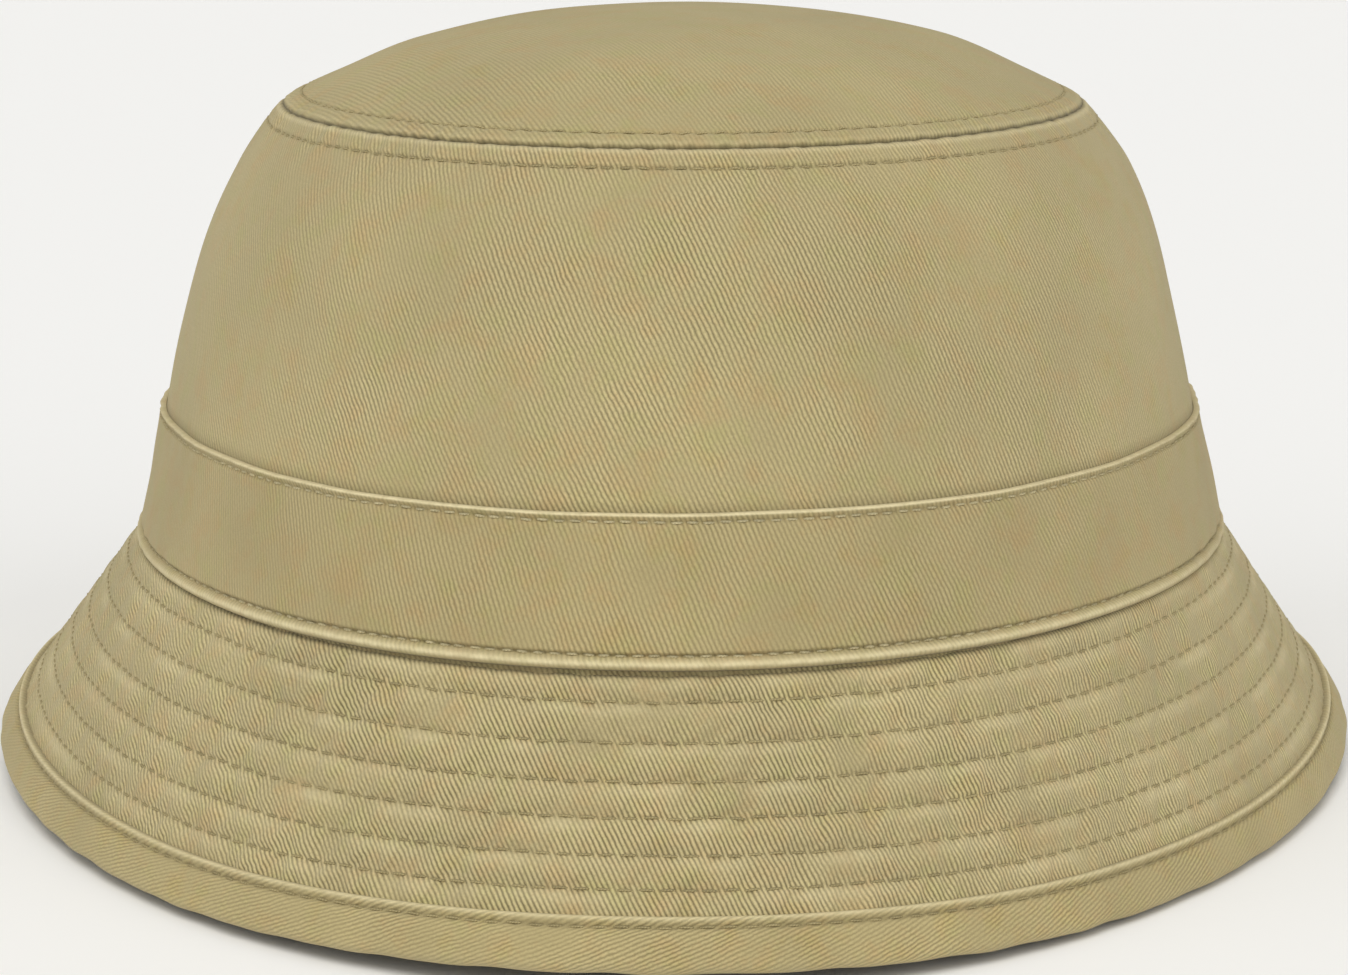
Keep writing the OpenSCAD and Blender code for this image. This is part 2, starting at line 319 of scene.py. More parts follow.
def sim_height(angle, run):
    """The simulated height, read between grid points."""
    runs, height = SIM
    angle, run = np.broadcast_arrays(angle, run)
    n = height.shape[0]
    x = np.mod(angle, 2 * math.pi) / (2 * math.pi) * n
    i = np.floor(x).astype(int) % n
    after = (i + 1) % n
    fx = x - np.floor(x)
    j = np.clip(np.searchsorted(runs, run) - 1, 0, len(runs) - 2)
    fy = np.clip((run - runs[j]) / (runs[j + 1] - runs[j]), 0, 1)
    return ((height[i, j] * (1 - fx) + height[after, j] * fx) * (1 - fy)
            + (height[i, j + 1] * (1 - fx) + height[after, j + 1] * fx) * fy)


# ------------------------------------------------------------- mesh building
def arc(angles, width):
    """Length round the oval of this half-width, zero at the middle of the angles."""
    fine = np.linspace(angles.min() - 1e-6, angles.max() + 1e-6, 4001)
    x, y = oval(fine, width)
    length = np.r_[0, np.cumsum(np.hypot(np.diff(x), np.diff(y)))]
    middle = 0.5 * (angles.min() + angles.max())
    return np.interp(angles, fine, length) - np.interp(middle, fine, length)


def strip_uv(width=95.0, sign=1):
    """Flat strip, with lengths true at this half-width."""
    return lambda angle, run: (arc(angle[:, 0], width)[:, None], sign * run)


def cone_uv(radius, sign):
    """Flat pattern of a cone; sign is -1 where run goes towards the apex."""
    def uv(angle, run):
        turn = arc(angle[:, 0], 95.0)[:, None] / radius
        rho = radius + sign * run
        return rho * np.sin(turn), radius - rho * np.cos(turn)
    return uv


def tip_uv(angle, run):
    """The tip seen from above."""
    place = tip_at(angle, run, 0.0)
    return place[..., 0], place[..., 1]


def make_mesh(node, verts, faces, uvs, marks, material):
    """Object named after the CAD node it stands for, from quads in mm and float marks."""
    name = "v_" + node
    mesh = bpy.data.meshes.new(name)
    count = len(faces)
    mesh.vertices.add(len(verts))
    mesh.vertices.foreach_set("co", np.ascontiguousarray(verts * 0.001, np.float32).ravel())
    mesh.loops.add(count * 4)
    mesh.loops.foreach_set("vertex_index", np.ascontiguousarray(faces, np.int32).ravel())
    mesh.polygons.add(count)
    mesh.polygons.foreach_set("loop_start", np.arange(count, dtype=np.int32) * 4)
    layer = mesh.uv_layers.new(name="UVMap")
    layer.data.foreach_set("uv", np.ascontiguousarray(uvs / MM_PER_UV, np.float32).ravel())
    mesh.update(calc_edges=True)
    for key, values in marks.items():
        attribute = mesh.attributes.new(key, "FLOAT", "POINT")
        attribute.data.foreach_set("value", np.ascontiguousarray(values, np.float32).ravel())
    mesh.polygons.foreach_set("use_smooth", np.full(count, True))
    mesh.validate()
    ob = bpy.data.objects.new(name, mesh)
    bpy.context.scene.collection.objects.link(ob)
    mesh.materials.append(material)
    return ob


def shell(node, surface, angles, runs, outer, inner, material, uv,
          wrap=True, flip=False, marks=None):
    """Closed thin shell over the grid, between the outer and inner offsets."""
    n, m = len(angles), len(runs)
    angle, run = angles[:, None], runs[None, :]
    verts = np.concatenate([
        np.broadcast_to(surface(angle, run, value(out, angle, run)), (n, m, 3)).reshape(-1, 3)
        for out in (outer, inner)])

    # Corners are column * m + row. Columns run on to n where the ring closes, for the UVs.
    columns = np.arange(n if wrap else n - 1)
    rows = np.arange(m - 1)
    grid = (columns[:, None] * m + rows[None]).ravel()
    first, last = columns * m, columns * m + m - 1
    face = np.stack([grid, grid + m, grid + m + 1, grid + 1], -1)
    rim = [0, 0, 1, 1]            # two corners on the outer layer, two on the inner
    parts = [(face, [0] * 4), (face[:, ::-1], [1] * 4),
             (np.stack([first + m, first, first, first + m], -1), rim),
             (np.stack([last, last + m, last + m, last], -1), rim)]
    if not wrap:
        side = np.stack([rows, rows + 1, rows + 1, rows], -1)
        parts += [(side, rim), (side[:, ::-1] + (n - 1) * m, rim[::-1])]
    corners = np.concatenate([part for part, _ in parts])
    layers = np.concatenate([np.broadcast_to(layer, part.shape) for part, layer in parts])
    if flip:
        corners, layers = corners[:, ::-1], layers[:, ::-1]
    faces = corners // m % n * m + corners % m + layers * n * m

    uv_angles = np.append(angles, angles[0] + 2 * math.pi) if wrap else angles
    flat = np.stack(np.broadcast_arrays(*uv(uv_angles[:, None], run)), -1).reshape(-1, 2)
    values = {}
    for key, mark in (marks or {}).items():
        face_values = np.broadcast_to(mark(angle, run), (n, m)).ravel()
        inner_values = 0 * face_values if key == "wear_and_highlight" else face_values
        values[key] = np.concatenate([face_values, inner_values])
    return make_mesh(node, verts, faces, flat[corners], values, material)


def ring(n):
    """n angles round the hat, from the back."""
    return BACK + 2 * math.pi * np.arange(n) / n


def samples(low, high, step, extra=(), fine=0.22, reach=1.6):
    """Runs every step mm, closer together near the extra places."""
    runs = list(np.arange(low, high + 1e-6, step))
    for place in extra:
        end = min(high, place + reach) + 1e-6
        runs += list(np.arange(max(low, place - reach), end, fine))
    runs = np.unique(np.round(np.array(runs + [low, high]), 3))
    keep = [runs[0]]
    for run in runs[1:]:
        if run - keep[-1] > 0.12:
            keep.append(run)
    keep[-1] = runs[-1]
    return np.array(keep)


# ------------------------------------------------------------ thread building
def unit(vectors):
    return vectors / (np.linalg.norm(vectors, axis=-1, keepdims=True) + 1e-9)


def tubes(centres, up, across, radius, taper, along, rand):
    """Six-sided capped tubes, one per stitch. centres, up and across are (stitch, station,
    xyz) and taper scales the radius by station. Returns verts, faces, uvs, rand."""
    sides = 6
    count, stations = centres.shape[:2]
    turn = np.arange(sides) * 2 * math.pi / sides
    section = (np.cos(turn)[:, None] * up[:, :, None]
               + np.sin(turn)[:, None] * across[:, :, None])
    verts = centres[:, :, None] + radius * taper[:, None, None] * section
    a, b = np.meshgrid(np.arange(stations - 1) * sides, np.arange(sides), indexing="ij")
    after = (b + 1) % sides
    wall = np.stack([a + b, a + after, a + sides + after, a + sides + b], -1).reshape(-1, 4)
    start_cap = np.array([[3, 2, 1, 0], [5, 4, 3, 0]])
    end_cap = np.array([[0, 1, 2, 3], [0, 3, 4, 5]]) + (stations - 1) * sides
    one = np.concatenate([wall, start_cap, end_cap])
    size = stations * sides
    faces = (one[None] + (np.arange(count) * size)[:, None, None]).reshape(-1, 4)
    uvs = np.stack(np.broadcast_arrays(along[:, :, None], turn * radius), -1).reshape(-1, 2)
    return verts.reshape(-1, 3), faces, uvs[faces], np.repeat(rand, size)


def make_thread(node, rows, material):
    """One object from several sets of tubes."""
    starts = np.cumsum([0] + [len(row[0]) for row in rows])
    verts, faces, uvs, rand = (np.concatenate(part) for part in zip(*rows))
    faces = np.concatenate([row[1] + start for row, start in zip(rows, starts)])
    return make_mesh(node, verts, faces, uvs, {"rand": rand}, material)


def stitch_row(surface, row, pitch, height, side, seed, radius=0.21,
               span=(BACK, BACK + 2 * math.pi), fill=0.80, dip=0.28):
    """Single stitches along a row at this run, diving into the cloth at both ends.
    side is 1 on the outer face and -1 on the inner; fill is the share of the pitch used."""
    rng = np.random.RandomState(seed)
    wobble = 0.10
    fine = np.linspace(*span, 4001)
    line = surface(fine, row, 0.0)
    length = np.r_[0, np.cumsum(np.linalg.norm(np.diff(line, axis=0), axis=1))]
    count = max(1, int(round(length[-1] / pitch)))
    step = length[-1] / count
    stations = np.array([-1, -0.72, -0.36, 0, 0.36, 0.72, 1.0])
    along = ((np.arange(count)[:, None] + 0.5) * step + stations * (0.5 * fill * step)
             + rng.uniform(-0.05, 0.05, (count, 1)) * step)
    angle = np.interp(along, length, fine)
    shift = rng.uniform(-wobble, wobble, (count, 1))
    lean = rng.uniform(-wobble, wobble, (count, 1))
    run = row + shift + stations * lean * 0.6
    arch = np.array([-1.0, -0.30, 0.10, 0.22, 0.10, -0.30, -1.0])
    lift = radius * 0.55 + dip * arch - 0.13 * side_share(angle)
    out = value(height, angle, run) + side * lift
    centres = surface(angle, run, out)
    normal = unit(surface(angle, run, out + 0.05) - surface(angle, run, out - 0.05))
    tangent = unit(np.gradient(centres, axis=1))
    across = unit(np.cross(tangent, normal))
    taper = np.array([0.55, 0.9, 1.0, 1.0, 1.0, 0.9, 0.55])
    return tubes(centres, np.cross(across, tangent), across, radius, taper, along,
                 rng.uniform(0, 1, count))


def side_seam_row(angle, seed):
    """Stitches up the inside of the crown at this angle."""
    rng = np.random.RandomState(seed)
    pitch, start, half, radius = 2.6, 1.5, 1.05, 0.2
    length = CROWN.length - 6
    count = int((length - 2) / pitch)
    stations = np.array([-1, -0.6, 0, 0.6, 1.0])
    run = start + (np.arange(count)[:, None] + 0.5) * pitch + stations * half
    out = -CLOTH - 0.12 - 0.2 * np.array([-1, -0.3, 0.2, -0.3, -1.0])
    centres = crown_at(angle, run, out)
    normal = unit(crown_at(angle, run, out + 0.1) - centres)
    tangent = unit(np.gradient(centres, axis=1))
    taper = np.array([0.5, 0.9, 1, 0.9, 0.5])
    return tubes(centres, normal, np.cross(tangent, normal), radius, taper, run,
                 rng.uniform(0, 1, count))


# ----------------------------------------------------------------- materials
def linear(colour):
    """8-bit sRGB to linear RGBA."""
    return tuple(((v / 255) / 12.92 if v <= 10 else ((v / 255 + 0.055) / 1.055) ** 2.4)
                 for v in colour) + (1.0,)


def tinted(colour, factors):
    return tuple(min(1.0, v * f) for v, f in zip(colour, factors)) + (1.0,)


def shaded(colour, factor):
    return tinted(colour, (factor,) * 3)


DISPLAY_GAMMA = 2.2      # light and dark are given as factors on the displayed colour


class Shader:
    """A node material; its methods add nodes and return their output sockets."""

    def __init__(self, name):
        self.material = bpy.data.materials.new(name)
        self.material.use_nodes = True
        self.tree = self.material.node_tree

    def put(self, socket, source):
        if isinstance(source, (int, float, tuple)):
            socket.default_value = source
        else:
            self.tree.links.new(source, socket)

    def node(self, kind, inputs=None, **settings):
        node = self.tree.nodes.new("ShaderNode" + kind)
        for key, setting in settings.items():
            setattr(node, key, setting)
        for key, source in (inputs or {}).items():
            self.put(node.inputs[key], source)
        return node

    def calc(self, operation, *values, clamp=False):
        inputs = dict(enumerate(values))
        return self.node("Math", inputs, operation=operation, use_clamp=clamp).outputs[0]

    def add(self, a, b):
        return self.calc("ADD", a, b)

    def mul(self, a, b):
        return self.calc("MULTIPLY", a, b)

    def centred(self, source, gain):
        """A 0 to 1 value moved to swing round zero, times gain."""
        return self.mul(self.calc("SUBTRACT", source, 0.5), gain)

    def wave01(self, operation, phase):
        return self.calc("MULTIPLY_ADD", self.calc(operation, phase), 0.5, 0.5)

    def noise(self, place, scale, detail=2.0, rough=0.5):
        return self.node("TexNoise", {"Vector": place, "Scale": scale, "Detail": detail,
                                      "Roughness": rough}).outputs["Fac"]

    def remap(self, source, low, high, to_low, to_high):
        inputs = dict(enumerate((source, low, high, to_low, to_high)))
        return self.node("MapRange", inputs).outputs[0]

    def mix(self, factor, a, b, blend="MIX"):
        return self.node("Mix", {0: factor, 6: a, 7: b}, data_type="RGBA",
                         blend_type=blend).outputs[2]

    def brighten(self, colour, amount):
        return self.node("HueSaturation", {"Color": colour, "Value": amount}).outputs[0]

    def attribute(self, name):
        return self.node("Attribute", attribute_name=name).outputs["Fac"]

    def place(self):
        return self.node("TexCoord").outputs["Object"]

    def parts(self, vector):
        outputs = self.node("SeparateXYZ", {0: vector}).outputs
        return outputs[0], outputs[1]

    def flat(self, x_scale, y_scale):
        """The flat pattern's x and y, scaled."""
        x, y = self.parts(self.node("UVMap", uv_map="UVMap").outputs[0])
        return self.mul(x, x_scale), self.mul(y, y_scale)

    def finish(self, colour, height, bump_mm, roughness, specular, sheen=0.0, sheen_rough=0.5):
        relief = self.node("Bump", {"Strength": 1.0, "Distance": bump_mm * 0.001,
                                    "Height": height})
        for key, source in {"Base Color": colour, "Roughness": roughness,
                            "Specular IOR Level": specular, "Sheen Weight": sheen,
                            "Sheen Roughness": sheen_rough,
                            "Normal": relief.outputs[0]}.items():
            self.put(self.tree.nodes["Principled BSDF"].inputs[key], source)
        return self.material


def twill(name, base, pitch, angle=-62.0, contrast=1.0, light=1.16, dark=0.84, bump_mm=0.10,
          mottle=1.0, seed=0.0, wander=1.0):
    """Worn twill; its rib tops are painted lighter and its grooves darker, as painted shading.
    pitch is the rib spacing in mm, angle the rib direction in degrees, wander how far the ribs
    stray, mottle the strength of the dye patches, and light and dark the painted highlight and
    shade on the ribs."""
    shader = Shader(name)
    calc, noise, remap, mix = shader.calc, shader.noise, shader.remap, shader.mix
    add, mul = shader.add, shader.mul
    place = shader.place()
    facing = shader.node("LayerWeight", {"Blend": 0.5}).outputs["Facing"]
    # the fuzz hides the ribs where the cloth is seen edge-on
    soft = calc("SUBTRACT", 1.0, mul(calc("POWER", facing, 1.3), 0.9), clamp=True)

    # ribs, each broken into 1.15 mm floats staggered from rib to rib
    x, y = shader.flat(MM_PER_UV, MM_PER_UV)
    lean = math.radians(angle)
    stray = shader.centred(noise(place, 260 + seed), 0.55 * wander)
    fine_stray = shader.centred(noise(place, 1500 + seed, detail=1.0), 0.22 * wander)
    across = add(mul(x, -math.sin(lean)), mul(y, math.cos(lean)))
    across = calc("DIVIDE", add(add(across, stray), fine_stray), pitch)
    along = add(mul(x, math.cos(lean)), mul(y, math.sin(lean)))
    rib = shader.wave01("COSINE", mul(across, 2 * math.pi))
    number = calc("FLOOR", add(across, 0.5))
    float_phase = add(calc("DIVIDE", along, 1.15), mul(number, 0.37))
    yarn = calc("POWER", calc("ABSOLUTE", calc("SINE", mul(float_phase, math.pi))), 0.45)
    height = mul(calc("POWER", rib, 0.8), calc("MULTIPLY_ADD", yarn, 0.35, 0.65))
    fuzz = noise(place, 5200 + seed, rough=0.7)
    # worn cloth shows its ribs unevenly
    uneven = remap(noise(place, 60 + seed, detail=4.0, rough=0.65), 0.32, 0.68, 0.35, 1.25)
    shade = mul(calc("SUBTRACT", height, 0.42), mul(mul(uneven, soft), contrast))
    shade = add(shade, shader.centred(fuzz, 0.70))

    cloth = tinted(linear(base), (0.856, 0.862, 0.868))
    # rib tops painted lighter and grooves darker: painted shading of the rib relief, laid on
    # the weave's pattern
    low = tinted(shaded(cloth, dark ** DISPLAY_GAMMA), (1, 0.985, 0.93))
    high = shaded(cloth, light ** DISPLAY_GAMMA)
    colour = mix(calc("MULTIPLY_ADD", shade, 0.85, 0.5, clamp=True), low, high)
    # dye mottling: warm patches, green patches, then slow light and dark areas
    patches = (
        # noise scale, noise from and to, strength, tint
        (150 + seed, 0.48, 0.66, 0.75, (1.04, 0.93, 0.88, 1.0)),
        (125 + seed * 1.7 + 3, 0.49, 0.68, 0.65, (0.94, 1.01, 0.86, 1.0)))
    for scale, start, end, strength, tint in patches:
        patch = noise(place, scale, detail=4.0, rough=0.7)
        amount = remap(patch, start, end, 0.0, strength * mottle)
        colour = mix(amount, colour, mix(1.0, colour, tint, "MULTIPLY"))
    colour = shader.brighten(colour, remap(noise(place, 22 + seed), 0.30, 0.70, 0.94, 1.06))
    # lightened towards cream by the mesh's first mark: partly worn cloth, partly painted
    # highlight on ridges, rolled edges and channel tops
    wear_and_highlight_grain = remap(noise(place, 700), 0.25, 0.65, 0.6, 1.0)
    colour = mix(mul(shader.attribute("wear_and_highlight"), wear_and_highlight_grain), colour, linear((238, 225, 182)))
    # darkened by the mesh's second mark: painted shade in grooves and creases, painted shadow
    # under folds and edges
    colour = mix(shader.attribute("painted_shade"), colour, shaded(cloth, 0.30))
    relief = add(mul(mul(height, uneven), soft), mul(fuzz, 0.8))
    return shader.finish(colour, relief, bump_mm=bump_mm, roughness=0.92, specular=0.12,
                         sheen=0.12, sheen_rough=0.6)


def plain_weave(name, base, pitch, bump_mm=0.05, sheen=0.1, roughness=0.9):
    """Crossing yarns, one over and one under."""
    shader = Shader(name)
    calc, mul = shader.calc, shader.mul
    place = shader.place()
    scale = MM_PER_UV * math.pi / pitch
    x, y = shader.flat(scale, scale)
    crossing = mul(calc("SINE", x), calc("SINE", y))
    weave = calc("MULTIPLY_ADD", crossing, 0.5, 0.5)
    fuzz = shader.noise(place, 4000, rough=0.7)
    factor = calc("ADD", mul(weave, 0.7), mul(fuzz, 0.3), clamp=True)
    cloth = linear(base)
    colour = shader.mix(factor, shaded(cloth, 0.92 ** DISPLAY_GAMMA),
                        shaded(cloth, 1.07 ** DISPLAY_GAMMA))
    slow = shader.noise(place, 30, detail=3.0, rough=0.6)
    colour = shader.brighten(colour, shader.remap(slow, 0.30, 0.70, 0.93, 1.05))
    return shader.finish(colour, shader.add(weave, mul(fuzz, 0.6)), bump_mm=bump_mm,
                         roughness=roughness, specular=0.15, sheen=sheen)


def thread(name, base):
    """Twisted thread: slanting plies, each stitch its own shade."""
    shader = Shader(name)
    calc, add, mul = shader.calc, shader.add, shader.mul
    x, y = shader.flat(MM_PER_UV / 0.42, MM_PER_UV / 0.66)    # mm per ply, along and round
    ply = shader.wave01("SINE", mul(add(x, y), 2 * math.pi))
    factor = calc("MULTIPLY_ADD", ply, 0.6, mul(shader.attribute("rand"), 0.4))
    colour = shader.mix(factor, shaded(linear(base), 0.70), shaded(linear(base), 1.22))
    # faded towards the cloth's colour round the sides
    x, y = shader.parts(shader.place())
    x2, y2 = calc("POWER", x, 2.0), calc("POWER", y, 2.0)
    side = calc("DIVIDE", x2, add(add(x2, y2), 1e-9))
    fade = shader.remap(side, 0.35, 0.95, 0.0, 0.8)
    colour = shader.mix(fade, colour, linear((176, 162, 120)))
    return shader.finish(colour, ply, bump_mm=0.08, roughness=0.7, specular=0.25)


CROWN_TWILL = twill("crown_twill", (177, 163, 120), pitch=0.735, contrast=1.08, light=1.22,
                    dark=0.78)
TIP_TWILL = twill("tip_twill", (179, 165, 120), pitch=0.705, angle=-60, contrast=1.15, seed=7.0)
BAND_TWILL = twill("band_twill", (177, 162, 118), pitch=0.75, angle=-66, contrast=0.95,
                   seed=13.0)
BRIM_TWILL = twill("brim_twill", (179, 165, 122), pitch=0.69, contrast=1.6, light=1.22,
                   dark=0.78, seed=19.0, bump_mm=0.14, wander=0.4)
UNDER_TWILL = twill("under_twill", (174, 159, 115), pitch=0.70, seed=23.0)
BINDING_TWILL = twill("binding_twill", (178, 163, 118), pitch=0.60, angle=24, contrast=1.3,
                      seed=29.0)
TAPE = plain_weave("tape_weave", (190, 178, 138), pitch=0.55)
SWEAT_TWILL = twill("sweatband_twill", (193, 180, 140), pitch=0.48, angle=45, contrast=0.7,
                    seed=37.0, mottle=0.5)
INTERLINING = plain_weave("interlining_weave", (226, 222, 208), pitch=0.7)
SATIN = plain_weave("label_satin", (236, 234, 226), pitch=0.22, bump_mm=0.02, sheen=0.3,
                    roughness=0.55)
KHAKI_THREAD = thread("thread_khaki", (174, 160, 117))
CREAM_THREAD = thread("thread_cream", (205, 193, 152))
WHITE_THREAD = thread("thread_white", (228, 224, 212))


# ------------------------------------------------------------- registering
def crown_fold(lead=0.0):
    """The crown top's name and a band of heights in metres, lowered by lead for an inside
    layer.
    register reads them only as a flag: it bakes such a piece's transform and attaches it to no
    body."""
    return "crown_top", 0.063 - lead, 0.108 - lead


# sewn along its upper edge; its two heights lie just under the stitches, and nothing bends it
# by them
LABEL_FLAP = ("label", 0.0613, 0.0583)


def register(ob, body="hat", bend=None):
    if bend:
        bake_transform(ob)
    else:
        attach(ob, body)
    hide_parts(ob.name.removeprefix("v_"))


# -------------------------------------------------------- side crown and tip
COLUMNS = 960


def seam_relief(angle, run, edge, seed, seam, seam_width, pad, pad_full, pad_fade, groove,
                pucker):
    """Cloth beside the tip seam, edge mm away: turned down into the seam, padded up to the
    topstitch row, grooved under it and puckered."""
    turned = -seam * np.exp(-(np.maximum(edge, 0) / seam_width) ** 1.5)
    padded = pad * ease(edge, 0.4, pad_full) * (1 - ease(edge, TOP_ROW - pad_fade, TOP_ROW))
    grooved = -groove * bump(edge, at=TOP_ROW, width=0.33)
    noise = waves(angle, run, seed, turns=(70, 150), slant=(0.0, 0.3))
    return ((1 - 0.45 * side_share(angle)) * (turned + padded + grooved)
            + pucker * noise * (1 - ease(edge, 1.5, 9)))


def crown_out(angle, run):
    # narrow grooves at the side seams, +X and -X
    side_seam = -0.55 * np.exp(-(np.abs(np.abs(np.cos(angle)) - 1) / 0.00004) ** 0.5)
    return side_seam + seam_relief(
        angle, run, CROWN.length - run, seed=61, seam=0.85, seam_width=0.32, pad=0.14,
        pad_full=1.1, pad_fade=0.8, groove=0.24, pucker=0.09)


def tip_out(angle, run):
    # the tip's relief, from tip_relief below
    return tip_relief(angle, run)


def tip_relief(angle, run):
    return seam_relief(
        angle, run, run, seed=62, seam=0.70, seam_width=0.27, pad=0.12,
        pad_full=1.4, pad_fade=1.0, groove=0.20, pucker=0.08)


def seam_shade(edge):
    # painted shade in the seam's groove and in the groove under the topstitch row
    return 0.85 * bump(edge, at=0.0, width=0.38) + 0.22 * bump(edge, at=TOP_ROW, width=0.22)


def crown_wear_and_highlight(angle, run):
    # lighter along the ridge just beside the tip seam: partly worn cloth, partly painted
    # highlight
    return 0.28 * bump(CROWN.length - run, at=0.9, width=0.5)


def crown_shade(angle, run):
    # painted shadow on the crown just above the band's top edge, added to the seam's painted
    # shade
    band_top_shadow = 0.30 * (1 - ease(run, BAND_HI + 0.1, BAND_HI + 1.5))
    return np.clip(seam_shade(CROWN.length - run) + band_top_shadow, 0, 1)


crown_runs = samples(-6.0, CROWN.length, 0.95, fine=0.18,
                     extra=(CROWN.length - TOP_ROW, CROWN.length - 0.4))
for key, start in (("front", math.pi), ("back", 0.0)):
    register(shell(
        "side_crown_" + key, crown_at, np.linspace(start, start + math.pi, COLUMNS // 2 + 1),
        crown_runs, crown_out, shifted(crown_out, -CLOTH), CROWN_TWILL,
        cone_uv(radius=350.0, sign=-1), wrap=False,
        marks={"wear_and_highlight": crown_wear_and_highlight, "painted_shade": crown_shade}), bend=crown_fold())


def close_tip(ob, n, m):
    """Swap the wall round the hole in the middle of the tip for a fan on each face."""
    bm = bmesh.new()
    bm.from_mesh(ob.data)
    wall = [f for f in bm.faces if all(v.index % m == m - 1 for v in f.verts)]
    bmesh.ops.delete(bm, geom=wall, context="FACES_ONLY")
    bm.verts.ensure_lookup_table()
    rims = [[bm.verts[base + i * m + m - 1] for i in range(n)] for base in (0, n * m)]
    layer = bm.loops.layers.uv.active
    uv_per_metre = 1000 / MM_PER_UV
    for rim, inner in zip(rims, (False, True)):
        pole = bm.verts.new(sum((v.co for v in rim), Vector()) / n)
        for a, b in zip(rim, rim[1:] + rim[:1]):
            face = bm.faces.new((b, pole, a) if inner else (a, b, pole))
            face.smooth = True
            for loop in face.loops:
                co = loop.vert.co
                loop[layer].uv = (co.x * uv_per_metre, co.y * uv_per_metre)
    bm.to_mesh(ob.data)
    bm.free()


tip_runs = samples(0.0, TIP.length - 0.6, 1.1, extra=(TOP_ROW, 0.4), fine=0.18)
# the tip's marks: lighter along the ridge beside the seam, partly worn cloth and partly painted
# highlight; painted shade in the seam grooves
tip = shell(
    "crown_tip", tip_at, ring(COLUMNS), tip_runs, tip_out, shifted(tip_out, -CLOTH), TIP_TWILL,
    tip_uv, marks={"wear_and_highlight": lambda angle, run: 0.10 * bump(run, at=0.95, width=0.5),
                   "painted_shade": lambda angle, run: np.clip(seam_shade(run), 0, 1)})
close_tip(tip, COLUMNS, len(tip_runs))
register(tip, body="crown_top")


# ------------------------------------------------------------------- hat band
def band_out(angle, run):
    side = side_share(angle)
    # rolled folds at both edges
    out = (0.85 + 0.60 * bump(run, at=BAND_LO + 0.95, width=0.75) * (1 - 0.5 * side ** 3)
           + 0.20 * bump(run, at=BAND_HI - 0.35, width=0.30))
    # grooves under the stitch rows, deeper once per stitch
    stitch = 0.5 + 0.5 * np.cos(round(2 * math.pi * 97.7 / BAND_PITCH) * angle)
    out = out - (0.42 + 0.16 * stitch) * bump(run, at=BAND_ROW_LO, width=0.36)
    out = out - (0.20 + 0.12 * stitch) * bump(run, at=BAND_ROW_HI, width=0.32)
    # puckers along the rows, and slow waves between them
    near = bump(run, at=BAND_ROW_LO, width=2.2) + bump(run, at=BAND_ROW_HI, width=2.2)
    out = out + 0.05 * waves(angle, run, seed=71, turns=(60, 140), slant=(0.0, 0.4)) * near
    slow = waves(angle, run, seed=72, turns=(6, 22), slant=(0.05, 0.3))
    out = out + 0.10 * slow * bump(run, at=10.5, width=7)
    out = out * rounded(run - BAND_LO, 0.75) * rounded(BAND_HI - run, 0.45)
    return np.maximum(out, 0.12)


def band_wear_and_highlight(angle, run):
    # lighter along both rolled folds, less round the sides: partly worn cloth, partly painted
    # highlight on the folds
    folds = (1.0 * bump(run, at=BAND_HI - 0.22, width=0.22)
             + 0.70 * bump(run, at=BAND_LO + 1.0, width=0.62))
    return np.clip(folds, 0, 1) * (1 - 0.6 * side_share(angle) ** 2)


def band_shade(angle, run):
    # painted shade in the grooves under both stitch rows, and painted shadow under the lower
    # fold
    return np.clip(0.30 * bump(run, at=BAND_ROW_LO + 0.1, width=0.22)
                   + 0.16 * bump(run, at=BAND_ROW_HI - 0.1, width=0.3)
                   + 0.75 * (1 - ease(run, BAND_LO, BAND_LO + 0.35)), 0, 1)


band_runs = samples(BAND_LO, BAND_HI, 0.8, fine=0.14, reach=1.1,
                    extra=(BAND_ROW_LO, BAND_ROW_HI, BAND_LO + 0.6, BAND_HI - 0.5))
register(shell(
    "hat_band", crown_at, ring(1440), band_runs, band_out, 0.06, BAND_TWILL,
    strip_uv(), marks={"wear_and_highlight": band_wear_and_highlight, "painted_shade": band_shade}))

# ----------------------------------------------------------------------- brim
BRIM_COLUMNS = 1320


def upper_height(angle, run):
    if SIM is None:
        return quilt(angle, run)
    pucker = waves(angle, run, seed=55, turns=(30, 90), slant=(0.02, 0.4), n=12)
    height = ((1.25 * sim_height(angle, run) + 0.09 * pucker) * (1 - 0.7 * side_share(angle))
              * (0.2 + 0.8 * ease(run, -0.1, 1.9)))
    under_binding = ease(run, BIND_RUN - 1.6, BIND_RUN - 0.2)
    return height * (1 - under_binding) + np.maximum(height, 0.02) * under_binding


def upper_out(angle, run):
    # small ripples along each stitch row
    ripples = 0.0
    for i, row in enumerate(ROWS):
        ripples = ripples - (0.10 * (1 - 0.6 * side_share(angle)) * bump(run, row, width=0.55)
                             * (0.5 + 0.5 * np.cos(210 * angle + i)))
    # the brim leaves the seam a little steeper than its own slope
    tuck = -0.75 * (1 - ease(run, -0.7, 0.9))
    sink = 0.25 * ease(run, BIND_RUN + 0.8, BIND_RUN + 2.2)
    return upper_height(angle, run) + ripples + tuck - sink


def lower_out(angle, run):
    return -2.25 - 0.75 * quilt(angle + 0.37, run, seed=131)


def patchy(angle, seed):
    noise = waves(angle, 0, seed, turns=(9, 40), slant=(0, 0.01))
    return np.clip(0.6 + 0.5 * noise, 0, 1.3)


